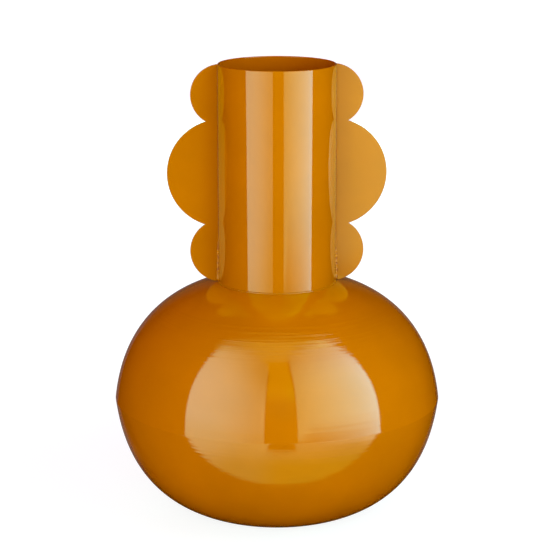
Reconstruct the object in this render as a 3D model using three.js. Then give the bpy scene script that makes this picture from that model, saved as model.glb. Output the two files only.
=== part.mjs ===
import * as THREE from "three";

// A lacquered iron vase: a round body of two spun halves joined at the widest place, a straight
// neck tube, and a flat scalloped fin on each side of the neck. Millimetres, +Z up, with the
// origin on the table under the middle of the base. The fins point along X, the front faces -Y.

// Driving dimensions: sheet and joints
const bodySheet = 1.0; // thickness of the spun body halves
const neckSheet = 1.0; // thickness of the rolled neck tube
const finSheet = 1.2; // thickness of the cut fin plates
const jointGap = 0.3; // clear space between two pieces that meet

// Driving dimensions: body
const bodyRadius = 100.8; // outer radius at the seam
const seamHeight = 72.5; // height of the seam above the table
const baseRadius = 41.85; // radius of the flat that stands on the table
const shoulderRise = 73.05; // from the seam up to where the shoulder meets the neck's skin
const crownSetback = 23.8; // how far below the seam the upper curve has its centre
const crownFullness = 2.52; // 2 is an ellipse, more is squarer
const bowlSetback = 38.1; // how far above the seam the lower curve has its centre
const bowlFullness = 2.85;

// Driving dimensions: neck
const neckRadius = 36.0; // outer radius of the tube
const neckTuck = 3.0; // length of tube that reaches down through the hole in the shoulder

// Driving dimensions: fins, each a row of three round lobes
const lobeInset = 2.2; // depth of the lobe centres inside the neck's skin
const lowLobeRadius = 19.6;
const midLobeRadius = 33.4;
const topLobeRadius = 18.8;
const lowLap = 4.7; // overlap of the low and middle lobes along the row
const topLap = 4.1; // overlap of the middle and top lobes along the row
const finLift = 0.6; // least space between the low lobe and the shoulder

// Driving dimensions: welds
const seamWeldHeight = 1.4; // height of the filled joint between the body halves
const seamRootHeight = 0.6; // how far that joint stands in on the inside
const neckWeldLeg = 1.8; // legs of the fillet round the neck's foot
const finWeldLeg = 1.5; // legs of the fillets along the fin roots
const finWeldInset = 1.5; // how far those fillets stop short of the fin's top corner

// How finely curves are cut
const turnSteps = 64; // facets round the axis
const curveSteps = 12; // facets along one half of the body
const lobeSteps = 9; // half the facets on one lobe
const lipSteps = 4; // facets across the rolled lip
const filletSteps = 3; // facets across a weld's face

// Colours of the lacquer
const bodyColour = 0xc0720a;
const neckColour = 0xcc7d08;
const finColour = 0xc47c14;
const weldColour = 0xb87416;

/**
 * One half of the body, which ends at radius end.r, end.t away from the seam: a superellipse of
 * revolution whose centre lies behind the seam.
 */
function halfCurve(end, setback, fullness) {
  const endShare = (end.r / bodyRadius) ** fullness;
  const power = ((end.t + setback) ** fullness - endShare * setback ** fullness) / (1 - endShare);
  const reach = power ** (1 / fullness);
  const share = 1 - (setback / reach) ** fullness;
  const angleAtRise = (t) => Math.asin(((t + setback) / reach) ** (fullness / 2));
  const angleAtRadius = (r) => Math.acos(Math.sqrt(share) * (r / bodyRadius) ** (fullness / 2));
  const point = (angle) => ({
    r: bodyRadius * (Math.cos(angle) ** 2 / share) ** (1 / fullness),
    t: reach * Math.sin(angle) ** (2 / fullness) - setback,
  });
  const normal = ({ r, t }) => {
    const outward = (share * (r / bodyRadius) ** (fullness - 1)) / bodyRadius;
    const away = ((t + setback) / reach) ** (fullness - 1) / reach;
    return new THREE.Vector2(outward, away).normalize();
  };
  return { angleAtRise, angleAtRadius, point, normal };
}

const crown = halfCurve({ r: neckRadius, t: shoulderRise }, crownSetback, crownFullness);
const bowl = halfCurve({ r: baseRadius, t: seamHeight }, bowlSetback, bowlFullness);

/** Height of the shoulder's outer face at a radius. */
const shoulderAt = (r) => seamHeight + crown.point(crown.angleAtRadius(r)).t;

/** Slope of the shoulder's outer face at a radius, as rise over run. */
function shoulderSlope(r) {
  const away = crown.normal(crown.point(crown.angleAtRadius(r)));
  return away.x / away.y;
}

// Places that follow from the sizes above
const holeRadius = neckRadius + jointGap;
const edgeRise = seamWeldHeight / 2 + jointGap;
const neckWeldRadius = holeRadius + neckWeldLeg;
const neckWeldTop = shoulderAt(holeRadius) + jointGap + neckWeldLeg;
const neckFoot = shoulderAt(neckRadius) - neckTuck;
const lobeCentre = neckRadius - lobeInset;

/** Height of the low lobe's centre at which the lobe clears the shoulder by finLift. */
function seatLowLobe() {
  const samples = 24;
  const span = lobeCentre + lowLobeRadius - neckWeldRadius;
  let height = 0;
  for (let i = 0; i <= samples; i += 1) {
    const x = neckWeldRadius + (span * i) / samples;
    const drop = Math.sqrt(Math.max(lowLobeRadius ** 2 - (x - lobeCentre) ** 2, 0));
    height = Math.max(height, shoulderAt(x) + finLift + drop);
  }
  return height;
}

const lowLobe = { x: lobeCentre, z: seatLowLobe(), radius: lowLobeRadius };
const midLobe = {
  x: lobeCentre,
  z: lowLobe.z + lowLobeRadius + midLobeRadius - lowLap,
  radius: midLobeRadius,
};
const topLobe = {
  x: lobeCentre,
  z: midLobe.z + midLobeRadius + topLobeRadius - topLap,
  radius: topLobeRadius,
};
const rimHeight = topLobe.z + topLobeRadius;

/** A solid turned about Z from a closed outline of radius and height. */
function turned(outline) {
  const closed = [...outline, outline[0]].map(([r, z]) => new THREE.Vector2(r, z));
  return new THREE.LatheGeometry(closed, turnSteps).rotateX(Math.PI / 2);
}

/** Steps from one value to another, both ends included. */
function steps(from, to, count) {
  return Array.from({ length: count + 1 }, (_, i) => from + ((to - from) * i) / count);
}

/** Outer and inner points of a body half, from the seam's edge to the last angle. */
function halfWall(curve, lastAngle) {
  const points = steps(curve.angleAtRise(edgeRise), lastAngle, curveSteps).map(curve.point);
  const outer = points.map(({ r, t }) => [r, t]);
  const inner = points.map((point) => {
    const away = curve.normal(point);
    return [point.r - bodySheet * away.x, point.t - bodySheet * away.y];
  });
  inner[0] = [outer[0][0] - bodySheet / curve.normal(points[0]).x, edgeRise];
  return { outer, inner };
}

/** Upper half of the body, open at the seam and at the hole for the neck. */
function upperShell() {
  const { outer, inner } = halfWall(crown, crown.angleAtRadius(holeRadius));
  const [edgeRadius, edgeTop] = outer.at(-1);
  const thickness = bodySheet * Math.hypot(1, shoulderSlope(holeRadius));
  inner[inner.length - 1] = [edgeRadius, edgeTop - thickness];
  const outline = [...outer, ...inner.reverse()].map(([r, t]) => [r, seamHeight + t]);
  return turned(outline);
}

/** Lower half of the body, pressed flat where it stands on the table. */
function lowerShell() {
  const lastAngle = bowl.angleAtRise(seamHeight);
  const { outer, inner } = halfWall(bowl, lastAngle);
  const away = bowl.normal(bowl.point(lastAngle));
  const bend = Math.atan2(away.x, away.y);
  inner[inner.length - 1] = [baseRadius - bodySheet * Math.tan(bend / 2), seamHeight - bodySheet];
  const wall = [...outer, [0, seamHeight], [0, seamHeight - bodySheet], ...inner.reverse()];
  return turned(wall.map(([r, t]) => [r, seamHeight - t]).reverse());
}

/** Ring of weld that fills the joint between the two halves, with a low root bead inside. */
function seamWeld() {
  const half = seamWeldHeight / 2;
  const above = crown.point(crown.angleAtRise(half)).r;
  const below = bowl.point(bowl.angleAtRise(half)).r;
  return turned([
    [below, seamHeight - half],
    [bodyRadius, seamHeight],
    [above, seamHeight + half],
    [above - bodySheet, seamHeight + half],
    [bodyRadius - bodySheet - seamRootHeight, seamHeight],
    [below - bodySheet, seamHeight - half],
  ]);
}

/** Neck tube with a rounded lip. */
function neckTube() {
  const lip = neckSheet / 2;
  const round = steps(0, Math.PI, lipSteps).map((angle) => [
    neckRadius - lip + lip * Math.cos(angle),
    rimHeight - lip + lip * Math.sin(angle),
  ]);
  return turned([[neckRadius, neckFoot], ...round, [neckRadius - neckSheet, neckFoot]]);
}

/** Hollow fillet that joins the neck's foot to the shoulder. */
function neckWeld() {
  const seat = (r) => shoulderAt(r) + jointGap * Math.hypot(1, shoulderSlope(r));
  const toe = [neckWeldRadius, seat(neckWeldRadius)];
  const face = steps(0, Math.PI / 2, filletSteps).slice(1, -1).map((angle) => [
    neckWeldRadius - (neckWeldLeg * Math.sin(angle) + neckWeldLeg * (1 - Math.cos(angle))) / 2,
    neckWeldTop - (neckWeldLeg * Math.cos(angle) + neckWeldLeg * (1 - Math.sin(angle))) / 2,
  ]);
  return turned([[holeRadius, seat(holeRadius)], toe, ...face, [holeRadius, neckWeldTop]]);
}

/** Outer point where two lobes of the row cross. */
function cusp(lower, upper) {
  const rise = upper.z - lower.z;
  const along = (rise ** 2 + lower.radius ** 2 - upper.radius ** 2) / (2 * rise);
  return { x: lower.x + Math.sqrt(lower.radius ** 2 - along ** 2), z: lower.z + along };
}

/** Height of the fin's corner beside the neck, above the fillet at the neck's foot. */
const finFoot = neckWeldTop + jointGap * Math.SQRT2;

/** Where the clipped lower corner of the fin meets the low lobe. */
function clippedCorner() {
  const across = holeRadius - lowLobe.x;
  const down = lowLobe.z - finFoot;
  const sum = across + down;
  const run = (Math.sqrt(sum ** 2 - 2 * (across ** 2 + down ** 2 - lowLobe.radius ** 2)) - sum) / 2;
  return { x: holeRadius + run, z: finFoot - run };
}

/** Height of the fin's upper corner beside the neck. */
const finTop = topLobe.z + Math.sqrt(topLobe.radius ** 2 - (holeRadius - topLobe.x) ** 2);

/** One fin plate, standing in the XZ plane on the +X side of the neck. */
function finPlate() {
  const shape = new THREE.Shape();
  shape.moveTo(holeRadius, finFoot);
  const corners = [
    clippedCorner(),
    cusp(lowLobe, midLobe),
    cusp(midLobe, topLobe),
    { x: holeRadius, z: finTop },
  ];
  [lowLobe, midLobe, topLobe].forEach((lobe, i) => {
    const angleOf = (corner) => Math.atan2(corner.z - lobe.z, corner.x - lobe.x);
    shape.absarc(lobe.x, lobe.z, lobe.radius, angleOf(corners[i]), angleOf(corners[i + 1]), false);
  });
  shape.closePath();
  const settings = { depth: finSheet, bevelEnabled: false, curveSegments: lobeSteps };
  return new THREE.ExtrudeGeometry(shape, settings).rotateX(Math.PI / 2).translate(0, finSheet / 2, 0);
}

/** Fillet along a fin's root, on the +Y side for side 1 and on the -Y side for side -1. */
function finWeld(side) {
  const near = finSheet / 2 + jointGap;
  const far = near + finWeldLeg;
  const skinAt = (y) => Math.sqrt(holeRadius ** 2 - y ** 2);
  const shape = new THREE.Shape();
  shape.moveTo(skinAt(near), side * near);
  shape.lineTo(skinAt(near) + finWeldLeg, side * near);
  for (const angle of steps(0, Math.PI / 2, filletSteps).slice(1, -1)) {
    const out = skinAt(near) + (finWeldLeg * (Math.cos(angle) + 1 - Math.sin(angle))) / 2;
    shape.lineTo(out, side * (near + (finWeldLeg * (Math.sin(angle) + 1 - Math.cos(angle))) / 2));
  }
  shape.lineTo(skinAt(far), side * far);
  shape.closePath();
  const foot = finFoot + jointGap;
  const length = finTop - finWeldInset - foot;
  return new THREE.ExtrudeGeometry(shape, { depth: length, bevelEnabled: false }).translate(0, 0, foot);
}

/** A named piece in its own lacquer colour. */
function piece(name, geometry, color) {
  const material = new THREE.MeshStandardMaterial({ color, roughness: 0.12, metalness: 0.0 });
  const mesh = new THREE.Mesh(geometry, material);
  mesh.name = name;
  return mesh;
}

/** A fin and its two welds, turned about the neck to its side. */
function finSet(name, turn, sides) {
  const set = new THREE.Group();
  set.add(piece(`${name}_fin`, finPlate(), finColour));
  for (const [place, side] of Object.entries(sides)) {
    set.add(piece(`${name}_fin_${place}_weld`, finWeld(side), weldColour));
  }
  set.rotation.z = turn;
  return set;
}

const vase = new THREE.Group();
vase.add(piece("lower_shell", lowerShell(), bodyColour));
vase.add(piece("upper_shell", upperShell(), bodyColour));
vase.add(piece("seam_weld", seamWeld(), weldColour));
vase.add(piece("neck_tube", neckTube(), neckColour));
vase.add(piece("neck_weld", neckWeld(), weldColour));
vase.add(finSet("right", 0, { front: -1, back: 1 }));
vase.add(finSet("left", Math.PI, { front: 1, back: -1 }));

export default vase;
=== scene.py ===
"""A glossy amber vase of lacquered sheet iron, dressed around its packed frame.

The round body is two spun halves, the neck is a straight tube, and on each side of the neck stands
a flat fin with three round lobes. Metres, +Z up, the front facing -Y, as in the frame.
"""

import math

import bmesh
import bpy
from bpy.props import FloatProperty, FloatVectorProperty, IntProperty, PointerProperty
from mathutils import Matrix, Vector


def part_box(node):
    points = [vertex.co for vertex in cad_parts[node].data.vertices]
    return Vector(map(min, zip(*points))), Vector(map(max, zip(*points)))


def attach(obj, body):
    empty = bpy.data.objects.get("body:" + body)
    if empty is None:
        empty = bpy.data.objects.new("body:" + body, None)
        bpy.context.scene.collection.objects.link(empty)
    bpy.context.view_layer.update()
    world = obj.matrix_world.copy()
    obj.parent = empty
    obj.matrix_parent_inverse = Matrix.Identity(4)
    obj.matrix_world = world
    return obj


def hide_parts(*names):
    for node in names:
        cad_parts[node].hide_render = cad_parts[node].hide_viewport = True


bl_info = {
    "name": "Scalloped Vase",
    "version": (1, 0, 0),
    "blender": (4, 5, 0),
    "location": "View3D > Sidebar > Vase",
    "description": "Makes a lacquered sheet-iron vase with scalloped fins, and the studio it stands in",
    "category": "Add Mesh",
}

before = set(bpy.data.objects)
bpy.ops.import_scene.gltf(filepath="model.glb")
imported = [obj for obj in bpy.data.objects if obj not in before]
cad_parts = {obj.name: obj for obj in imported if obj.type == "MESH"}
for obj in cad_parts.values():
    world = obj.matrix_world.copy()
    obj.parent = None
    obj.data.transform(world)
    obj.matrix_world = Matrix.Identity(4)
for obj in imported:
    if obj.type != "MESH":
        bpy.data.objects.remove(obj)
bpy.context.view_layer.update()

# Places that the frame gives
seam_low, seam_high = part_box("seam_weld")
neck_low, neck_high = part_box("neck_tube")
neck_weld_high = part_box("neck_weld")[1]
fin_low, fin_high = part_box("right_fin")

GLOSS_SLOT = "amber_lacquer"
WELD_SLOT = "lacquered_weld"


def length(name, description, default):
    """A size in metres that the sidebar shows."""
    return FloatProperty(name=name, description=description, default=default, unit="LENGTH", precision=5)


def plain(name, description, default):
    """A number without a unit."""
    return FloatProperty(name=name, description=description, default=default)


def colour(name, description, default):
    """A linear colour."""
    return FloatVectorProperty(
        name=name, description=description, default=default, size=3, subtype="COLOR", min=0, max=1
    )


class VaseBody(bpy.types.PropertyGroup):
    """Sizes of the round body."""

    seam_radius: length("Seam radius", "Outer radius at the widest place", seam_high.x)
    seam_height: length("Seam height", "Height of the widest place", (seam_low.z + seam_high.z) / 2)
    seam_half: length(
        "Seam half height", "Half the height of the filled joint", (seam_high.z - seam_low.z) / 2
    )
    base_radius: length("Base radius", "Radius of the flat that stands on the table", 0.04185)
    shoulder_rise: length("Shoulder rise", "From the seam up to the neck's skin", 0.07305)
    crown_setback: length("Crown setback", "Depth of the upper curve's centre below the seam", 0.0238)
    crown_fullness: plain("Crown fullness", "2 is an ellipse, more is squarer", 2.52)
    bowl_setback: length("Bowl setback", "Height of the lower curve's centre above the seam", 0.0381)
    bowl_fullness: plain("Bowl fullness", "2 is an ellipse, more is squarer", 2.85)
    sheet: length("Sheet", "Thickness of the spun halves", 0.001)
    turns: IntProperty(name="Turns", description="Facets round the axis", default=256)
    steps: IntProperty(name="Steps", description="Facets from the seam to a half's end", default=72)


class VaseNeck(bpy.types.PropertyGroup):
    """Sizes of the neck tube."""

    radius: length("Radius", "Outer radius of the tube", neck_high.x)
    foot: length("Foot", "Height of the tube's lower edge, inside the body", neck_low.z)
    rim: length("Rim", "Height of the lip", neck_high.z)
    sheet: length("Sheet", "Thickness of the tube", 0.001)
    ring_step: length("Ring step", "Distance between rings of the wall", 0.0025)


class VaseFin(bpy.types.PropertyGroup):
    """Sizes of the two fins."""

    lobe_inset: length("Lobe inset", "Depth of the lobe centres inside the neck's skin", 0.0022)
    low_radius: length("Low lobe", "Radius of the lowest lobe", 0.0196)
    mid_radius: length("Middle lobe", "Radius of the middle lobe", 0.0334)
    top_radius: length("Top lobe", "Radius of the highest lobe", 0.0188)
    low_lap: length("Low lap", "Overlap of the low and middle lobes", 0.0047)
    top_lap: length("Top lap", "Overlap of the middle and top lobes", 0.0041)
    sheet: length("Sheet", "Thickness of the plates", fin_high.y - fin_low.y)
    edge: length("Edge", "Rounding of the cut edges", 0.0004)
    root_tuck: length("Root tuck", "How far the root sits in the neck's skin", 0.0003)


class VaseWeld(bpy.types.PropertyGroup):
    """Sizes of the weld beads."""

    fin_bead: length("Fin bead", "Radius of the bead along a fin's root", 0.0006)
    fin_pitch: length("Fin pitch", "Distance between the drops along a fin's root", 0.0016)
    foot_reach: length("Foot reach", "How far up the fin's root the thick weld goes", 0.024)
    neck_bead: length("Neck bead", "Radius of the bead round the neck's foot", 0.0006)
    neck_pitch: length("Neck pitch", "Distance between the drops round the neck", 0.0024)
    uneven: plain("Unevenness", "Share by which a bead's radius changes along it", 0.35)


class VaseLacquer(bpy.types.PropertyGroup):
    """Colours of the lacquer, and of the shade painted on it."""

    body: colour("Body", "Lacquer on the spun halves", (0.5, 0.15, 0.0))
    neck: colour("Neck", "Lacquer on the neck", (0.48, 0.144, 0.0))
    fin: colour("Fin", "Lacquer on the fins", (0.485, 0.155, 0.0))
    weld: colour("Weld", "Lacquer over the neck's weld", (0.42, 0.13, 0.0))
    # Inside is painted shade: the neck's inside is given a redder colour than its outside
    inside: colour("Inside", "Lacquer inside the neck", (0.5, 0.125, 0.0))
    # Deep is painted shade far down inside the neck, along the fins' roots and cut edges and on the fin
    # welds above their foot; it is also the colour of the dark flecks on the welds' foot
    deep: colour("Deep", "Lacquer far down the neck and where it darkens on the fins", (0.3, 0.06, 0.0))
    tint: colour("Gleam", "Tint of the mirrored light", (0.75, 1.0, 0.5))


class VaseStudio(bpy.types.PropertyGroup):
    """Camera and lamps."""

    turn: FloatProperty(
        name="Turn", description="Turn of the camera and lamps about the vase",
        default=math.radians(-3), subtype="ANGLE",
    )
    tilt: FloatProperty(
        name="Tilt", description="Camera's downward tilt", default=0.237, subtype="ANGLE"
    )
    distance: length("Distance", "From the vase's axis to the camera, level", 1.2082)
    height: length("Height", "Camera's height above the table", 0.4397)
    aside: length("Aside", "Camera's step to the left of the vase's axis", 0.0003)
    lens: plain("Lens", "Focal length in millimetres on a 36 mm sensor", 130.9)
    gleam: plain("Gleam", "Share of the diffusers' brightness that the vase mirrors", 1.0)
    side_fill: colour("Side fill", "Light from the right diffuser on what faces it", (0.68, 0.85, 0.75))
    front_fill: colour("Front fill", "Light from the front on what faces it", (0.345, 0.455, 0.36))
    left_fill: colour("Left fill", "Light from the left on what faces it", (0.32, 0.53, 0.4))
    back_fill: colour("Back fill", "Light from behind on what faces it", (0.32, 0.6, 0.5))
    room_light: colour("Room light", "Light from all round that fills the shade", (0.48, 0.06, 0.25))
    back_light: plain("Back light", "Brightness of the room behind the vase", 0.6)
    room_gleam: colour("Room gleam", "The backdrop in the vase's mirror images", (0.045, 0.07, 0.035))


SETTINGS = {
    "vase_body": VaseBody,
    "vase_neck": VaseNeck,
    "vase_fin": VaseFin,
    "vase_weld": VaseWeld,
    "vase_lacquer": VaseLacquer,
    "vase_studio": VaseStudio,
}


class Wire:
    """A node's output that Python's arithmetic works on: each step adds a Math node."""

    def __init__(self, graph, socket):
        self.graph = graph
        self.socket = socket

    def math(self, operation, *others):
        """A Math node on this wire and any others."""
        return self.graph.math(operation, self, *others)

    def rise(self, start, end):
        """0 below start, 1 above end, and smooth in between."""
        settings = {"interpolation_type": "SMOOTHSTEP"}
        values = {"Value": self, "From Min": start, "From Max": end}
        return self.graph.node("ShaderNodeMapRange", settings, values)["Result"]

    def fall(self, start, end):
        """1 below start, 0 above end, and smooth in between."""
        return 1 - self.rise(start, end)

    def __add__(self, other):
        return self.graph.math("ADD", self, other)

    def __sub__(self, other):
        return self.graph.math("SUBTRACT", self, other)

    def __mul__(self, other):
        return self.graph.math("MULTIPLY", self, other)

    def __truediv__(self, other):
        return self.graph.math("DIVIDE", self, other)

    def __pow__(self, other):
        return self.graph.math("POWER", self, other)

    def __radd__(self, other):
        return self.graph.math("ADD", other, self)

    def __rsub__(self, other):
        return self.graph.math("SUBTRACT", other, self)

    def __rmul__(self, other):
        return self.graph.math("MULTIPLY", other, self)

    def __rtruediv__(self, other):
        return self.graph.math("DIVIDE", other, self)


class Graph:
    """Adds nodes to one tree, from plain values and wires alike."""

    def __init__(self, tree):
        self.tree = tree

    def node(self, kind, settings=None, values=None):
        """Adds a node: its settings first, then a value, a wire or a list of wires for each socket."""
        made = self.tree.nodes.new(kind)
        for name, setting in (settings or {}).items():
            setattr(made, name, setting)
        for key, value in (values or {}).items():
            socket = made.inputs[key] if isinstance(key, int) else live_socket(made.inputs, key)
            if not isinstance(value, (Wire, list)):
                socket.default_value = value
                continue
            for wire in value if isinstance(value, list) else [value]:
                self.tree.links.new(wire.socket, socket)
        return Outputs(self, made)

    def math(self, operation, *values):
        """A Math node's result."""
        return self.node("ShaderNodeMath", {"operation": operation}, dict(enumerate(values)))["Value"]

    def vector(self, x=0.0, y=0.0, z=0.0):
        """A vector, or a colour, of three numbers."""
        return self.node("ShaderNodeCombineXYZ", None, {"X": x, "Y": y, "Z": z})["Vector"]

    def split(self, vector):
        """X, Y and Z of a vector."""
        parts = self.node("ShaderNodeSeparateXYZ", None, {"Vector": vector})
        return parts["X"], parts["Y"], parts["Z"]

    def mix(self, cover, colour, over):
        """A colour with another over it, as far as cover says."""
        values = {"Factor": cover, "A": colour, "B": (*over, 1)}
        return self.node("ShaderNodeMix", {"data_type": "RGBA"}, values)["Result"]

    def emission(self, colour, strength=1.0):
        """A shader that shines."""
        return self.node("ShaderNodeEmission", None, {"Color": colour, "Strength": strength})["Emission"]


class Outputs:
    """A node's outputs by name, as wires."""

    def __init__(self, graph, made):
        self.graph = graph
        self.made = made

    def __getitem__(self, name):
        return Wire(self.graph, live_socket(self.made.outputs, name))


def live_socket(sockets, name):
    """The socket of that name which the node's settings leave in use."""
    return next(s for s in sockets if s.name == name and s.enabled)


def new_material(name):
    """An empty node material, as a graph."""
    material = bpy.data.materials.new(name)
    material.use_nodes = True
    material.node_tree.nodes.clear()
    return material, Graph(material.node_tree)


def object_place(graph):
    """The shaded point in the object's coordinates, which are the vase's."""
    return graph.node("ShaderNodeTexCoord")["Object"]


def from_axis(x, y):
    """Distance from the vase's axis."""
    return (x * x + y * y) ** 0.5


def noise(graph, vector, scale, detail=2.0):
    """Soft noise from 0 to 1 over a vector."""
    values = {"Vector": vector, "Scale": scale, "Detail": detail, "Roughness": 0.5}
    return graph.node("ShaderNodeTexNoise", {"noise_dimensions": "3D"}, values)["Fac"]


def spinning_lines(graph):
    """How high the lines stand that spinning left round the body, as a share: most at the shoulder."""
    round_scale, along_scale = 9.0, 480.0
    even, at_shoulder = 0.33, 0.9
    x, y, z = graph.split(object_place(graph))
    side = (z - bpy.context.scene.vase_body.seam_height).math("SIGN")
    along = z - from_axis(x, y) * side
    lines = noise(graph, graph.vector(x * round_scale, y * round_scale, along * along_scale), 1.0, 3.0)
    shoulder = z.rise(0.112, 0.128) * z.fall(0.128, 0.138)
    return lines * (even + shoulder * at_shoulder)


def lacquer(name, colour, gloss=1.8, rough=0.035, rings=0.0, ripple=6e-6, layers=None, polish=None):
    """Glossy enamel: its colour drifts where the coat is thicker, and its skin ripples.

    gloss is the coat's refractive index. ripple is the height of its slow waves, and rings is that of
    the spinning lines, where 0 is a piece that wasn't spun. layers gives, from the graph, how far each
    further colour covers the one before, and that colour. polish gives how far the coat is glossier
    than rough says. The noises' scales are cells in a metre.
    """
    material, graph = new_material(name)
    settings = bpy.context.scene.vase_lacquer
    place = object_place(graph)

    pool, drift = 0.1, 1.6
    deep = [c * (1 - pool) for c in colour]
    thin = [min(1.0, c * (1 + pool)) for c in colour]
    base = graph.mix((noise(graph, place, 22.0, 3.0) - 0.5) * drift + 0.5, (*deep, 1), thin)
    for cover, over in layers(graph, settings) if layers else []:
        base = graph.mix(cover, base, over)

    peel = 1.2e-6
    relief = noise(graph, place, 60.0) * ripple + noise(graph, place, 420.0) * peel
    if rings:
        relief = relief + spinning_lines(graph) * rings
    normal = graph.node("ShaderNodeBump", None, {"Strength": 1.0, "Distance": 1.0, "Height": relief})

    most_polish, uneven = 0.8, 0.02
    if polish:
        rough = rough * (1 - polish(graph) * most_polish)
    shader = graph.node(
        "ShaderNodeBsdfPrincipled", None,
        {
            "Base Color": base,
            "Roughness": rough + noise(graph, place, 35.0) * uneven,
            "IOR": gloss,
            "Specular Tint": (*settings.tint, 1),
            "Normal": normal["Normal"],
        },
    )["BSDF"]
    graph.node("ShaderNodeOutputMaterial", None, {"Surface": shader})
    return material


def neck_painted_shade(graph, colours):
    """Painted shade inside the neck: redder than the outside, and darker farther down."""
    neck = bpy.context.scene.vase_neck
    dark_depth = 0.025
    x, y, z = graph.split(object_place(graph))
    inside = from_axis(x, y).fall(neck.radius - neck.sheet * 0.8, neck.radius - neck.sheet * 0.4)
    return [(inside, colours.inside), (inside * (neck.rim - z).rise(0.0, dark_depth), colours.deep)]


def fin_painted_shade(graph, colours):
    """Painted shade along a fin's root, where it meets the neck, and round its rounded cut edges."""
    neck = bpy.context.scene.vase_neck
    root_shade_reach, root_shade_strength, edge_shade_strength = 0.013, 0.32, 0.3
    x = graph.split(object_place(graph))[0]
    root = x.math("ABSOLUTE").fall(neck.radius, neck.radius + root_shade_reach)
    facing = graph.split(graph.node("ShaderNodeNewGeometry")["Normal"])[1]
    edge = facing.math("ABSOLUTE").fall(0.4, 0.97)
    return [(root * root_shade_strength + edge * edge_shade_strength, colours.deep)]


def weld_foot(graph):
    """1 on the thick foot of a fin's weld, 0 above it."""
    foot, reach = neck_weld_high.z, bpy.context.scene.vase_weld.foot_reach
    z = graph.split(object_place(graph))[2]
    return z.fall(foot + reach * 0.6, foot + reach * 1.4)


def weld_layers(graph, colours):
    """On the weld's thick foot the colour is as pale as the fin's, over the painted crease shade that the
    rest of the weld has, with dark flecks between the drops.
    """
    darkness = 0.85
    foot = weld_foot(graph)
    flecks = noise(graph, object_place(graph), 700.0, 1.0).rise(0.5, 0.58)
    return [(foot, colours.fin), (foot * flecks * darkness, colours.deep)]


def new_piece(name, mesh=None):
    """An object at the origin, in the scene."""
    thing = bpy.data.objects.new(name, mesh or bpy.data.meshes.new(name))
    bpy.context.scene.collection.objects.link(thing)
    return thing


def keep_result(thing):
    """Gives a piece the plain mesh that its modifiers make."""
    bpy.context.view_layer.update()
    depsgraph = bpy.context.evaluated_depsgraph_get()
    made = bpy.data.meshes.new_from_object(thing.evaluated_get(depsgraph), depsgraph=depsgraph)
    thing.modifiers.clear()
    start = thing.data
    thing.data = made
    bpy.data.meshes.remove(start)
    made.name = thing.name


def finish_piece(thing, slot, *nodes, sharp=math.radians(35)):
    """Shades a piece smooth but for its corners, and has it stand for its nodes of the frame."""
    if not thing.data.polygons:
        raise RuntimeError(f"{thing.name} came out empty")
    thing.data.shade_smooth()
    if sharp:
        thing.data.set_sharp_from_angle(angle=sharp)
    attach(thing, "root")
    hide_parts(*nodes)


def run_nodes(thing, tree, values):
    """Adds a Geometry Nodes modifier, and sets its inputs by their sockets' identifiers."""
    modifier = thing.modifiers.new(tree.name, "NODES")
    modifier.node_group = tree
    for item in tree.interface.items_tree:
        if item.item_type == "SOCKET" and item.in_out == "INPUT" and item.name in values:
            modifier[item.identifier] = values[item.name]


def new_geometry_tree(name, inputs):
    """A Geometry Nodes tree with named inputs: its graph, and a wire for each input."""
    tree = bpy.data.node_groups.new(name, "GeometryNodeTree")
    tree.interface.new_socket("Geometry", in_out="INPUT", socket_type="NodeSocketGeometry")
    tree.interface.new_socket("Geometry", in_out="OUTPUT", socket_type="NodeSocketGeometry")
    for socket_name, kind in inputs.items():
        tree.interface.new_socket(socket_name, in_out="INPUT", socket_type=f"NodeSocket{kind}")
    graph = Graph(tree)
    return graph, graph.node("NodeGroupInput")


def close_tree(graph, geometry, material):
    """Ends a tree: instances made real, one material, and the output."""
    real = graph.node("GeometryNodeRealizeInstances", None, {"Geometry": geometry})["Geometry"]
    painted = graph.node("GeometryNodeSetMaterial", None, {"Geometry": real, "Material": material})
    graph.node("NodeGroupOutput", None, {"Geometry": painted["Geometry"]})
    return graph.tree


def curve_terms(widest, end_radius, end, setback, fullness):
    """The power and the share that lead a half's curve through the seam and the half's end.

    They are worked out from numbers or wires alike. At a distance from the seam the radius is
    widest * ((1 - (distance + setback) ** fullness / power) / share) ** (1 / fullness).
    """
    end_share = (end_radius / widest) ** fullness
    power = ((end + setback) ** fullness - end_share * setback ** fullness) / (1 - end_share)
    return power, 1 - setback ** fullness / power


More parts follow.
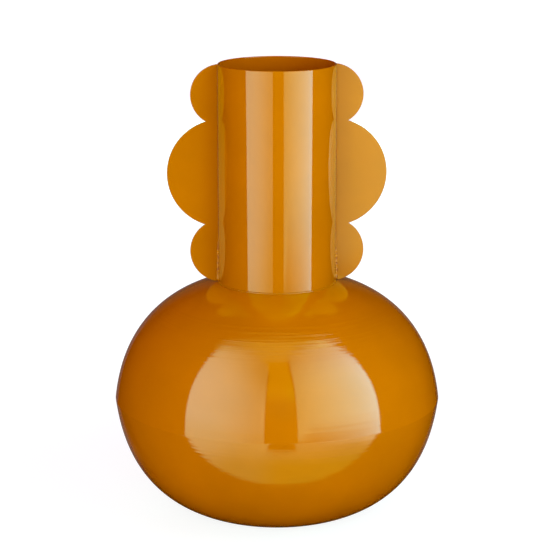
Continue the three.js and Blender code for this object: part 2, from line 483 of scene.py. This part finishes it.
def spun_half_tree():
    """Half a body: a superellipse of revolution whose centre lies behind the seam."""
    graph, given = new_geometry_tree("Spun half", {
        "Seam Radius": "Float",
        "Seam Height": "Float",
        "Seam Half": "Float",
        "Direction": "Float",
        "End Radius": "Float",
        "End Distance": "Float",
        "Setback": "Float",
        "Fullness": "Float",
        "Turns": "Int",
        "Steps": "Int",
        "Closed End": "Bool",
        "Material": "Material",
    })
    widest, end_radius, end = given["Seam Radius"], given["End Radius"], given["End Distance"]
    setback, fullness = given["Setback"], given["Fullness"]
    turns, steps = given["Turns"], given["Steps"]

    index = graph.node("GeometryNodeInputIndex")["Index"]
    per_turn = steps + 1
    column = (index / per_turn).math("FLOOR")
    row = index - column * per_turn
    power, share = curve_terms(widest, end_radius, end, setback, fullness)
    reach = power ** (1 / fullness)
    first = (((given["Seam Half"] + setback) / reach) ** (fullness / 2)).math("ARCSINE")
    last = (share ** 0.5 * (end_radius / widest) ** (fullness / 2)).math("ARCCOSINE")
    angle = first + (last - first) * row / steps
    radius = widest * (angle.math("COSINE") ** 2 / share) ** (1 / fullness)
    away = reach * angle.math("SINE") ** (2 / fullness) - setback

    turn = column / turns * math.tau
    place = graph.vector(
        radius * turn.math("COSINE"),
        radius * turn.math("SINE"),
        given["Seam Height"] + given["Direction"] * away,
    )
    sheet = graph.node("GeometryNodeMeshGrid", None, {"Vertices X": turns + 1, "Vertices Y": per_turn})
    wall = graph.node("GeometryNodeSetPosition", None, {"Geometry": sheet["Mesh"], "Position": place})

    disc = graph.node(
        "GeometryNodeMeshCircle", {"fill_type": "NGON"}, {"Vertices": turns, "Radius": end_radius}
    )
    drop = graph.vector(z=given["Seam Height"] + given["Direction"] * end)
    disc = graph.node("GeometryNodeSetPosition", None, {"Geometry": disc["Mesh"], "Offset": drop})
    disc = graph.node(
        "GeometryNodeSwitch", {"input_type": "GEOMETRY"},
        {"Switch": given["Closed End"], "True": disc["Geometry"]},
    )
    both = graph.node("GeometryNodeJoinGeometry", None, {"Geometry": [wall["Geometry"], disc["Output"]]})
    joined = graph.node(
        "GeometryNodeMergeByDistance", None, {"Geometry": both["Geometry"], "Distance": 1e-5}
    )
    return close_tree(graph, joined["Geometry"], given["Material"])


def half_sizes(upper):
    """End radius, distance from the seam to the end, setback and fullness of a body half."""
    body, neck = bpy.context.scene.vase_body, bpy.context.scene.vase_neck
    if upper:
        return neck.radius, body.shoulder_rise, body.crown_setback, body.crown_fullness
    return body.base_radius, body.seam_height, body.bowl_setback, body.bowl_fullness


def half_points(upper, distances):
    """Places (radius, height) on a body half's outer face, at some distances from the seam."""
    body = bpy.context.scene.vase_body
    end_radius, end, setback, fullness = half_sizes(upper)
    power, share = curve_terms(body.seam_radius, end_radius, end, setback, fullness)
    side = 1 if upper else -1
    return [
        (
            body.seam_radius * ((1 - (away + setback) ** fullness / power) / share) ** (1 / fullness),
            body.seam_height + side * away,
        )
        for away in distances
    ]


def bridge(made, ring, beside):
    """Adds the faces from one closed ring of corners to the next, which has as many."""
    for j, corner in enumerate(ring):
        after = (j + 1) % len(ring)
        made.faces.new((corner, beside[j], beside[after], ring[after]))


def closed_piece(name, made, material):
    """The piece that a closed shape of faces makes."""
    bmesh.ops.recalc_face_normals(made, faces=made.faces)
    mesh = bpy.data.meshes.new(name)
    made.to_mesh(mesh)
    made.free()
    mesh.materials.append(material)
    return new_piece(name, mesh)


def turned(name, outline, turns, material):
    """A piece turned about Z from a closed outline of (radius, height)."""
    made = bmesh.new()
    rings = []
    for i in range(turns):
        angle = math.tau * i / turns
        rings.append([made.verts.new((r * math.cos(angle), r * math.sin(angle), z)) for r, z in outline])
    for ring, beside in zip(rings, rings[1:] + rings[:1]):
        bridge(made, ring, beside)
    return closed_piece(name, made, material)


def face_outwards(mesh):
    """Turns the faces of an open or closed sheet away from the vase's axis."""
    made = bmesh.new()
    made.from_mesh(mesh)
    bmesh.ops.recalc_face_normals(made, faces=made.faces)
    outermost = max(made.faces, key=lambda face: face.calc_center_median().xy.length)
    if outermost.normal.xy.dot(outermost.calc_center_median().xy) < 0:
        bmesh.ops.reverse_faces(made, faces=made.faces)
    made.to_mesh(mesh)
    made.free()


class SpinBody(bpy.types.Operator):
    """Makes the two spun halves of the body"""

    bl_idname = "vase.spin_body"
    bl_label = "Spin the body"

    def execute(self, context):
        body = context.scene.vase_body
        paint = lacquer("Amber lacquer on spun sheet", context.scene.vase_lacquer.body, rings=2.2e-4)
        tree = spun_half_tree()
        for node, upper in {"upper_shell": True, "lower_shell": False}.items():
            end_radius, end, setback, fullness = half_sizes(upper)
            half = new_piece(f"{node}_lacquered")
            run_nodes(half, tree, {
                "Seam Radius": body.seam_radius,
                "Seam Height": body.seam_height,
                "Seam Half": body.seam_half,
                "Direction": 1.0 if upper else -1.0,
                "End Radius": end_radius,
                "End Distance": end,
                "Setback": setback,
                "Fullness": fullness,
                "Turns": body.turns,
                "Steps": body.steps,
                "Closed End": not upper,
                "Material": paint,
            })
            keep_result(half)
            face_outwards(half.data)
            wall = half.modifiers.new("Sheet", "SOLIDIFY")
            wall.thickness = body.sheet
            wall.offset = -1
            wall.use_even_offset = True
            keep_result(half)
            finish_piece(half, GLOSS_SLOT, node)
        return {"FINISHED"}


class FillSeam(bpy.types.Operator):
    """Makes the dressed weld that joins the two halves"""

    bl_idname = "vase.fill_seam"
    bl_label = "Fill the seam"

    def execute(self, context):
        body = context.scene.vase_body
        away = [body.seam_half * share for share in (1, 0.75, 0.5, 0.25)]
        below = half_points(False, away)
        above = half_points(True, away)
        crest_lift = body.seam_half * 0.02
        crest = (below[-1][0] + above[-1][0]) / 2 + crest_lift
        face = [*below, (crest, body.seam_height), *reversed(above)]
        root = [(r - body.sheet, z) for r, z in reversed(face)]
        paint = lacquer("Amber lacquer on the seam", context.scene.vase_lacquer.body)
        ring = turned("seam_weld_lacquered", face + root, body.turns, paint)
        finish_piece(ring, GLOSS_SLOT, "seam_weld")
        return {"FINISHED"}


class RollNeck(bpy.types.Operator):
    """Makes the neck tube with its rounded lip"""

    bl_idname = "vase.roll_neck"
    bl_label = "Roll the neck"

    def execute(self, context):
        body, neck = context.scene.vase_body, context.scene.vase_neck
        lip = neck.sheet / 2
        wall_top = neck.rim - lip
        count = round((wall_top - neck.foot) / neck.ring_step)
        wall = [neck.foot + (wall_top - neck.foot) * i / count for i in range(count)]
        wall.append(wall_top - lip / 2)
        lip_steps = 8
        angles = [math.pi * i / lip_steps for i in range(lip_steps + 1)]
        bend = [(neck.radius - lip + lip * math.cos(a), wall_top + lip * math.sin(a)) for a in angles]
        inside = neck.radius - neck.sheet
        outline = [(neck.radius, z) for z in wall] + bend + [(inside, z) for z in reversed(wall)]
        paint = lacquer(
            "Amber lacquer on the neck", context.scene.vase_lacquer.neck,
            gloss=1.7, ripple=2.5e-6, layers=neck_painted_shade,
        )
        tube = turned("neck_tube_lacquered", outline, body.turns, paint)
        finish_piece(tube, GLOSS_SLOT, "neck_tube")
        return {"FINISHED"}


def lobe_row(inset):
    """The three lobes of a fin as (centre x, centre z, radius), with their radii less by inset."""
    neck, fin = bpy.context.scene.vase_neck, bpy.context.scene.vase_fin
    x = neck.radius - fin.lobe_inset
    top = neck.rim - fin.top_radius
    middle = top - fin.top_radius - fin.mid_radius + fin.top_lap
    low = middle - fin.mid_radius - fin.low_radius + fin.low_lap
    return [
        (x, low, fin.low_radius - inset),
        (x, middle, fin.mid_radius - inset),
        (x, top, fin.top_radius - inset),
    ]


def cusp(lower, upper):
    """Outer point where two lobes of the row cross."""
    x, low, low_radius = lower
    rise = upper[1] - low
    along = (rise ** 2 + low_radius ** 2 - upper[2] ** 2) / (2 * rise)
    return x + math.sqrt(low_radius ** 2 - along ** 2), low + along


def fin_outline(inset, points):
    """A fin's outline, less by inset along its lobes, from its lower corner to its upper one."""
    neck, fin = bpy.context.scene.vase_neck, bpy.context.scene.vase_fin
    lobes = lobe_row(inset)
    root = neck.radius - fin.root_tuck
    foot = neck_weld_high.z
    x, low, radius = lobes[0]
    across = root - x
    down = low - foot
    total = across + down
    run = (math.sqrt(total ** 2 - 2 * (across ** 2 + down ** 2 - radius ** 2)) - total) / 2
    top_x, top, top_radius = lobes[2]
    corners = [
        (root + run, foot - run),
        cusp(lobes[0], lobes[1]),
        cusp(lobes[1], lobes[2]),
        (root, top + math.sqrt(top_radius ** 2 - (root - top_x) ** 2)),
    ]
    outline = [(root, foot)]
    for i, (x, z, radius) in enumerate(lobes):
        start = math.atan2(corners[i][1] - z, corners[i][0] - x)
        end = math.atan2(corners[i + 1][1] - z, corners[i + 1][0] - x)
        first = 0 if i == 0 else 1
        for j in range(first, points + 1):
            angle = start + (end - start) * j / points
            outline.append((x + radius * math.cos(angle), z + radius * math.sin(angle)))
    return outline


class CutFins(bpy.types.Operator):
    """Makes the two scalloped fins"""

    bl_idname = "vase.cut_fins"
    bl_label = "Cut the fins"

    def execute(self, context):
        fin = context.scene.vase_fin
        lobe_points = 72
        edge_steps = 5
        paint = lacquer(
            "Amber lacquer on the fins", context.scene.vase_lacquer.fin,
            gloss=1.6, ripple=4e-6, layers=fin_painted_shade,
        )
        layers = []
        for i in range(edge_steps + 1):
            angle = math.pi / 2 * i / edge_steps
            depth = fin.sheet / 2 - fin.edge * (1 - math.sin(angle))
            layers.append((depth, fin_outline(fin.edge * (1 - math.cos(angle)), lobe_points)))
        layers = [(-depth, outline) for depth, outline in reversed(layers)] + layers
        for node, side in {"right_fin": 1, "left_fin": -1}.items():
            made = bmesh.new()
            rings = [[made.verts.new((side * x, y, z)) for x, z in outline] for y, outline in layers]
            for ring, beside in zip(rings, rings[1:]):
                bridge(made, ring, beside)
            for ring in (rings[0], rings[-1]):
                flat = made.faces.new(ring)
                for edge in flat.edges:
                    edge.smooth = False
            plate = closed_piece(f"{node}_lacquered", made, paint)
            finish_piece(plate, GLOSS_SLOT, node, sharp=None)
        return {"FINISHED"}


def spaced(graph, line, step):
    """The points of a line, a step apart."""
    values = {"Curve": line, "Length": step}
    return graph.node("GeometryNodeResampleCurve", {"mode": "LENGTH"}, values)["Curve"]


def weld_tree():
    """An uneven weld bead along a line of points, with drops that swell where the line says."""
    graph, given = new_geometry_tree("Weld bead", {
        "Radius": "Float",
        "Pitch": "Float",
        "Unevenness": "Float",
        "Seed": "Int",
        "Material": "Material",
    })
    line = graph.node("GeometryNodeMeshToCurve", None, {"Mesh": given["Geometry"]})["Curve"]
    swell = graph.node(
        "GeometryNodeInputNamedAttribute", {"data_type": "FLOAT"}, {"Name": "swell"}
    )["Attribute"]
    place = graph.node("GeometryNodeInputPosition")["Position"]
    waves = graph.node(
        "ShaderNodeTexNoise", {"noise_dimensions": "4D"},
        {"Vector": place, "W": given["Seed"] * 1.7, "Scale": 0.35 / given["Pitch"], "Detail": 1.0},
    )["Fac"]
    width = given["Radius"] * swell * (1 + given["Unevenness"] * (waves - 0.5) * 2)
    section = graph.node(
        "GeometryNodeCurvePrimitiveCircle", {"mode": "RADIUS"}, {"Resolution": 12, "Radius": 1.0}
    )["Curve"]
    fine = spaced(graph, line, given["Pitch"] / 5)
    rope = graph.node(
        "GeometryNodeCurveToMesh", None,
        {"Curve": fine, "Profile Curve": section, "Scale": width, "Fill Caps": True},
    )["Mesh"]

    drop = graph.node("GeometryNodeMeshIcoSphere", None, {"Radius": 1.0, "Subdivisions": 3})["Mesh"]
    size = graph.node(
        "FunctionNodeRandomValue", {"data_type": "FLOAT"},
        {"Min": 1 - given["Unevenness"], "Max": 1 + given["Unevenness"], "Seed": given["Seed"]},
    )["Value"]
    size = given["Radius"] * swell * size
    drops = graph.node(
        "GeometryNodeInstanceOnPoints", None,
        {
            "Points": spaced(graph, line, given["Pitch"]),
            "Instance": drop,
            "Scale": graph.vector(size, size, size),
        },
    )["Instances"]
    both = graph.node("GeometryNodeJoinGeometry", None, {"Geometry": [rope, drops]})["Geometry"]
    return close_tree(graph, both, given["Material"])


def weld_along(node, points, swells, closed, sizes, material):
    """A weld bead along points, thicker or thinner by the swell of each."""
    edges = [(i, i + 1) for i in range(len(points) - 1)]
    if closed:
        edges.append((len(points) - 1, 0))
    mesh = bpy.data.meshes.new(f"{node}_lacquered")
    mesh.from_pydata(points, edges, [])
    mesh.attributes.new("swell", "FLOAT", "POINT").data.foreach_set("value", swells)
    bead = new_piece(f"{node}_lacquered", mesh)
    tree = bpy.data.node_groups.get("Weld bead") or weld_tree()
    run_nodes(bead, tree, {**sizes, "Material": material})
    keep_result(bead)
    finish_piece(bead, WELD_SLOT, node)


class WeldNeck(bpy.types.Operator):
    """Makes the weld round the neck's foot"""

    bl_idname = "vase.weld_neck"
    bl_label = "Weld the neck"

    def execute(self, context):
        body, neck, weld = context.scene.vase_body, context.scene.vase_neck, context.scene.vase_weld
        count = 180
        # Place off the corner, as shares of the bead's radius, and share of the fin welds' unevenness
        out, up, smoothed = 0.2, 0.35, 0.4
        radius = neck.radius + weld.neck_bead * out
        height = body.seam_height + body.shoulder_rise + weld.neck_bead * up
        angles = [math.tau * i / count for i in range(count)]
        points = [(radius * math.cos(a), radius * math.sin(a), height) for a in angles]
        paint = lacquer("Amber lacquer on the neck weld", context.scene.vase_lacquer.weld, gloss=1.55)
        sizes = {
            "Radius": weld.neck_bead,
            "Pitch": weld.neck_pitch,
            "Unevenness": weld.uneven * smoothed,
            "Seed": 3,
        }
        weld_along("neck_weld", points, [1.0] * count, True, sizes, paint)
        return {"FINISHED"}


class WeldFins(bpy.types.Operator):
    """Makes the four welds along the fin roots"""

    bl_idname = "vase.weld_fins"
    bl_label = "Weld the fins"

    def execute(self, context):
        neck, fin, weld = context.scene.vase_neck, context.scene.vase_fin, context.scene.vase_weld
        # The welds' base colour is the painted shade colour: a dark line of painted shade in the crease
        # along each fin's root, paler on the foot
        paint = lacquer(
            "Amber lacquer on the fin welds", context.scene.vase_lacquer.deep,
            gloss=1.5, rough=0.25, layers=weld_layers, polish=weld_foot,
        )
        count = 90
        below_top = 0.0012
        off_corner = 0.0001
        thin, thicker = 0.5, 2.0
        foot = neck_weld_high.z
        top = fin_high.z - below_top
        heights = [foot + (top - foot) * i / (count - 1) for i in range(count)]
        swells = [thin + thicker * max(0.0, 1 - (z - foot) / weld.foot_reach) ** 0.5 for z in heights]
        x = neck.radius + off_corner
        y = fin.sheet / 2 + off_corner
        seed = 11
        for side_name, side in {"right": 1, "left": -1}.items():
            for face_name, face in {"front": -1, "back": 1}.items():
                points = [(side * x, face * y, z) for z in heights]
                sizes = {
                    "Radius": weld.fin_bead,
                    "Pitch": weld.fin_pitch,
                    "Unevenness": weld.uneven,
                    "Seed": seed,
                }
                weld_along(f"{side_name}_fin_{face_name}_weld", points, swells, False, sizes, paint)
                seed += 1
        return {"FINISHED"}


def left_shade(across, height):
    """Red, blue and strength of the left diffuser: brighter, whiter and lower to its far side."""
    edge = 0.97 + height * 0.2
    top = 0.79 - across * across * across * 0.25
    shape = (across - edge).fall(-0.006, 0.006) * (height - top).fall(-0.02, 0.02)
    away = across.rise(0.1, 1.0)
    high = height.rise(0.2, 0.65)
    low = height.fall(0.02, 0.12)
    blue = (0.95 + away * 0.35) * (1 - high * 0.35) * (1 - low * 0.25)
    strength = (1.4 + away * 1.35) * (1 - high * 0.45) * (1 - low * 0.25)
    return 1.04 - away * 0.14, blue, strength * shape


def right_shade(across, height):
    """Red, blue and strength of the right diffuser: brighter and whiter to its far side, golden high up."""
    edge = 0.97 + height * 0.2
    top = 0.88 + across * 0.45
    shape = (across - edge).fall(-0.006, 0.006) * (height - top).fall(-0.03, 0.03)
    away = across.rise(0.0, 0.18)
    high = height.rise(0.28, 0.8)
    golden = height.rise(0.6, 0.85)
    low = height.fall(0.035 - away * 0.015, 0.07 + away * 0.07)
    red = 0.84 - across * 0.2 + golden * 0.22
    blue = (0.78 + across) * (1 - golden * 0.22 - height.rise(0.85, 1.2) * 0.4)
    strength = (1.4 + across * 3.23) * (1 - high * 0.5) * (1 + golden * 0.12)
    strength = strength * (1 - low * (0.8 + away * 0.24 - across * 0.87))
    return red, blue, strength * shape


def top_shade(across, forward):
    """Red, blue and strength of the overhead diffuser, which fills what the two others leave.

    It is warm in the middle. It is lit from over the vase forward to a rounded edge, and beyond that
    only along a narrow slot.
    """
    aside = across.math("ABSOLUTE")
    right = across.math("GREATER_THAN", 0.0)
    middle = aside.fall(0.04, 0.2)
    outer = aside.rise(0.06, 0.24)
    near = forward.fall(0.113, 0.2)
    deeper = forward.rise(0.29, 0.33)
    room = (0.09 - right * 0.03) + (0.0175 - right * 0.005) / (aside + 0.001)
    widening = forward - 0.1
    slot = (across + widening * 0.15).rise(0.0, 0.01) * (across - widening * 0.25).fall(-0.01, 0.0)
    shape = 1 - (1 - slot) * (forward - room).rise(-0.012, 0.004)
    red = 0.8 + outer * 0.15 + middle * (0.6 + deeper * 0.8)
    blue = (0.3 + outer * 0.5) * (1 - deeper) * (1 - near * 0.6)
    strength = 0.6 + middle * (0.4 - deeper * 0.4) + outer * (0.3 + right * 0.4)
    return red, blue, strength * forward.fall(0.75, 1.1) * shape


def lamp_panel(name, corner, across, up, start, end, shade, tint, mirrored, warmth=0.65):
    """A diffuser panel that shines to the side that across and up turn away from.

    corner, across and up are in the camera's own directions: X to its right, Y away from it. start and
    end are the values of shade's two places at the corner and opposite it. A mirrored panel shows in
    the vase's gloss and lights nothing else, and one that isn't mirrored lights and doesn't show. Where
    one mirror image shows in another, as the fins' does on the shoulder, a panel is brighter and more
    golden: it loses the share of its blue that warmth gives along its first edge, and all of it beyond.
    """
    turn = Matrix.Rotation(bpy.context.scene.vase_studio.turn, 3, "Z")
    across, up = turn @ Vector(across), turn @ Vector(up)
    centre = turn @ Vector(corner) + (across + up) / 2
    data = bpy.data.lights.new(name, "AREA")
    data.shape = "RECTANGLE"
    data.size = across.length
    data.size_y = up.length
    # With this power, the panel is as bright as its nodes say
    data.energy = math.pi * data.size * data.size_y
    data.use_nodes = True
    data.node_tree.nodes.clear()
    graph = Graph(data.node_tree)
    spot_x, spot_y = graph.split(graph.node("ShaderNodeNewGeometry")["Parametric"])[:2]
    red, blue, strength = shade(
        start[0] + (end[0] - start[0]) * spot_x, start[1] + (end[1] - start[1]) * spot_y
    )

    single_image_depth = 2.5
    red_loss, brighter, less_bright = 0.4, 0.6, 0.35
    again = graph.node("ShaderNodeLightPath")["Ray Depth"].math("GREATER_THAN", single_image_depth)
    high = spot_y.rise(0.13, 0.3)
    colour = graph.vector(
        red * tint[0] * (1 - again * high * red_loss),
        tint[1],
        blue * tint[2] * (1 - again * (warmth + high * (1 - warmth))),
    )
    glow = graph.emission(colour, strength * (1 + again * (brighter - high * less_bright)))
    graph.node("ShaderNodeOutputLight", None, {"Surface": glow})

    panel = bpy.data.objects.new(name, data)
    bpy.context.scene.collection.objects.link(panel)
    x, y = across.normalized(), up.normalized()
    panel.matrix_world = Matrix.Translation(centre) @ Matrix((x, y, x.cross(y))).transposed().to_4x4()
    panel.visible_camera = False
    panel.visible_diffuse = not mirrored
    panel.visible_glossy = mirrored


def soft_lamp(name, azimuth, elevation, level):
    """A square lamp far out that lights the vase and doesn't show in its gloss.

    azimuth is from the camera to its right, and level is the light on what faces the lamp.
    """
    distance, size, target = 1.5, 0.6, Vector((0, 0, 0.13))
    brightest = max(level)
    data = bpy.data.lights.new(name, "AREA")
    data.size = size
    data.color = [share / brightest for share in level]
    # With this power, a white face turned to the lamp is as bright as level says
    data.energy = math.pi ** 2 * brightest * distance ** 2
    lamp = bpy.data.objects.new(name, data)
    bpy.context.scene.collection.objects.link(lamp)
    turn = bpy.context.scene.vase_studio.turn + azimuth
    forward = Matrix.Rotation(turn, 3, "Z") @ Vector((0, -1, 0))
    way = forward * math.cos(elevation) + Vector((0, 0, math.sin(elevation)))
    lamp.location = target + way * distance
    lamp.rotation_euler = way.to_track_quat("Z", "Y").to_euler()
    lamp.visible_camera = False
    lamp.visible_glossy = False


def mirror_rays(rays):
    """1 on the rays that a glossy face sends on, from the light path's outputs."""
    return rays["Is Glossy Ray"].math("MAXIMUM", rays["Is Transmission Ray"])


def room_world(studio):
    """A room that is white to the camera and lights the vase's shaded sides.

    In the vase's gloss it is dark, with a dim backdrop, so that the vase's rim stays dark too.
    """
    world = bpy.data.worlds.new("Studio room")
    world.use_nodes = True
    world.node_tree.nodes.clear()
    graph = Graph(world.node_tree)
    rays = graph.node("ShaderNodeLightPath")
    seen, mirrored = rays["Is Camera Ray"], mirror_rays(rays)
    away = graph.split(graph.node("ShaderNodeTexCoord")["Generated"])[1]
    backdrop = away.rise(0.9, 0.99)
    back = away.math("MAXIMUM", 0.0) ** 4 * studio.back_light
    parts = [
        seen + (1 - seen) * (mirrored * backdrop * gleam + (1 - mirrored) * (back + share))
        for share, gleam in zip(studio.room_light, studio.room_gleam)
    ]
    shader = graph.node("ShaderNodeBackground", None, {"Color": graph.vector(*parts), "Strength": 1.0})
    graph.node("ShaderNodeOutputWorld", None, {"Surface": shader["Background"]})
    bpy.context.scene.world = world


def floor_material():
    """A pale floor that reads white to the camera and keeps a soft shadow by the vase.

    In the vase's gloss it is a lit field in front of the vase, cut by a slit in the middle, paler far
    out and to both sides, and dim behind the vase.
    """
    material, graph = new_material("Pale floor")
    x, y = graph.split(object_place(graph))[:2]
    radius = from_axis(x, y)
    own = graph.node("ShaderNodeBsdfDiffuse", None, {"Color": (0.7, 0.56, 0.66, 1)})["BSDF"]
    shown = graph.node("ShaderNodeBsdfDiffuse", None, {"Color": (0.19, 0.26, 0.25, 1)})["BSDF"]
    glow = graph.emission((1, 1, 1, 1), 0.88 + radius.rise(0.14, 0.5) * 0.12)
    white = graph.node("ShaderNodeAddShader", None, {0: shown, 1: glow})["Shader"]

    field = y.rise(-0.47, -0.42) * y.fall(-0.123, -0.117) * x.rise(-0.26, -0.24) * x.fall(0.24, 0.26)
    slit = y.fall(-0.195, -0.189) * x.rise(-0.031, -0.026) * x.fall(0.023, 0.029)
    lit = field * (1 - slit)
    hidden = y.rise(0.0, 0.1) * (x.math("ABSOLUTE") - y * 0.35).fall(0.1, 0.14)
    left = x.fall(-0.05, 0.0)
    away = radius.rise(0.15, 0.212)
    hidden_tone = 0.1
    field_tone = (0.6, 0.73, 0.08)
    added_tones = [
        (left, (0.35, 0.25, 0.3)),
        (away, (0.5, 0.27, 0.6)),
        (away * left, (0.3, 0.25, 0.0)),
        (x.fall(-0.15, -0.06), (0.4, 0.55, 0.9)),
        (x.rise(0.13, 0.18), (1.0, 0.8, 0.95)),
        (radius.rise(0.197, 0.216) * x.rise(0.05, 0.15), (0.45, 0.6, 1.0)),
    ]
    parts = [
        hidden * hidden_tone + lit * sum((where * tone[i] for where, tone in added_tones), field_tone[i])
        for i in range(3)
    ]
    mirrored = graph.emission(graph.vector(*parts))

    rays = graph.node("ShaderNodeLightPath")
    mixed = graph.node("ShaderNodeMixShader", None, {0: mirror_rays(rays), 1: own, 2: mirrored})["Shader"]
    mixed = graph.node("ShaderNodeMixShader", None, {0: rays["Is Camera Ray"], 1: mixed, 2: white})
    graph.node("ShaderNodeOutputMaterial", None, {"Surface": mixed["Shader"]})
    return material


class SetStudio(bpy.types.Operator):
    """Makes the camera, the lamps, the room and the floor"""

    bl_idname = "vase.set_studio"
    bl_label = "Set the studio"

    def execute(self, context):
        studio = context.scene.vase_studio
        context.scene.view_settings.view_transform = "Standard"

        camera_data = bpy.data.cameras.new("Camera")
        camera_data.sensor_width = 36
        camera_data.lens = studio.lens
        camera = bpy.data.objects.new("Camera", camera_data)
        context.scene.collection.objects.link(camera)
        place = Vector((-studio.aside, -studio.distance, studio.height))
        camera.location = Matrix.Rotation(studio.turn, 3, "Z") @ place
        camera.rotation_euler = (math.pi / 2 - studio.tilt, 0, studio.turn)
        context.scene.camera = camera

        gleam = [studio.gleam] * 3
        lamp_panel(
            "Left diffuser", corner=(-0.2633, -0.1182, -0.02), across=(0.1793, -0.4818, 0), up=(0, 0, 0.84),
            start=(1.1, -0.02), end=(0.0, 0.82), shade=left_shade, tint=gleam, mirrored=True,
        )
        right_panel = {
            "across": (0.468, 0.2976, 0),
            "up": (0, 0, 1.32),
            "start": (0.0, -0.02),
            "end": (1.2, 1.3),
            "shade": right_shade,
        }
        lamp_panel(
            "Right diffuser", corner=(0.095, -0.43, -0.02), tint=gleam, mirrored=True, warmth=0.4,
            **right_panel,
        )
        lamp_panel(
            "Right fill", corner=(0.1004, -0.4384, -0.02), tint=studio.side_fill, mirrored=False,
            **right_panel,
        )
        lamp_panel(
            "Overhead diffuser", corner=(-0.31, -1.1, 0.5), across=(0.63, 0, 0), up=(0, 0.987, 0),
            start=(-0.31, 1.1), end=(0.32, 0.113), shade=top_shade, tint=gleam, mirrored=True,
        )
        soft_lamp("Front fill", azimuth=0.0, elevation=math.radians(20), level=studio.front_fill)
        soft_lamp("Left fill", azimuth=math.radians(-45), elevation=0.0, level=studio.left_fill)
        soft_lamp(
            "Back fill", azimuth=math.radians(180), elevation=math.radians(5), level=studio.back_fill
        )

        room_world(studio)
        mesh = bpy.data.meshes.new("Floor")
        reach = 12.0
        corners = [(-reach, -reach, 0), (reach, -reach, 0), (reach, reach, 0), (-reach, reach, 0)]
        mesh.from_pydata(corners, [], [(0, 1, 2, 3)])
        mesh.materials.append(floor_material())
        new_piece("Floor", mesh)
        return {"FINISHED"}


OPERATORS = (SetStudio, SpinBody, FillSeam, RollNeck, CutFins, WeldNeck, WeldFins)


class VasePanel(bpy.types.Panel):
    """Lists the vase's pieces in the 3D view's sidebar"""

    bl_idname = "VIEW3D_PT_vase"
    bl_label = "Scalloped Vase"
    bl_space_type = "VIEW_3D"
    bl_region_type = "UI"
    bl_category = "Vase"

    def draw(self, context):
        for operator in OPERATORS:
            self.layout.operator(operator.bl_idname)
        for name, group in SETTINGS.items():
            box = self.layout.box()
            box.label(text=group.__doc__)
            for prop in group.__annotations__:
                box.prop(getattr(context.scene, name), prop)


CLASSES = (*SETTINGS.values(), *OPERATORS, VasePanel)


def register():
    for cls in CLASSES:
        bpy.utils.register_class(cls)
    for name, group in SETTINGS.items():
        setattr(bpy.types.Scene, name, PointerProperty(type=group))


def unregister():
    for name in SETTINGS:
        delattr(bpy.types.Scene, name)
    for cls in reversed(CLASSES):
        bpy.utils.unregister_class(cls)


def main():
    register()
    bpy.ops.vase.set_studio()
    bpy.ops.vase.spin_body()
    bpy.ops.vase.fill_seam()
    bpy.ops.vase.roll_neck()
    bpy.ops.vase.cut_fins()
    bpy.ops.vase.weld_neck()
    bpy.ops.vase.weld_fins()


if __name__ == "__main__":
    main()
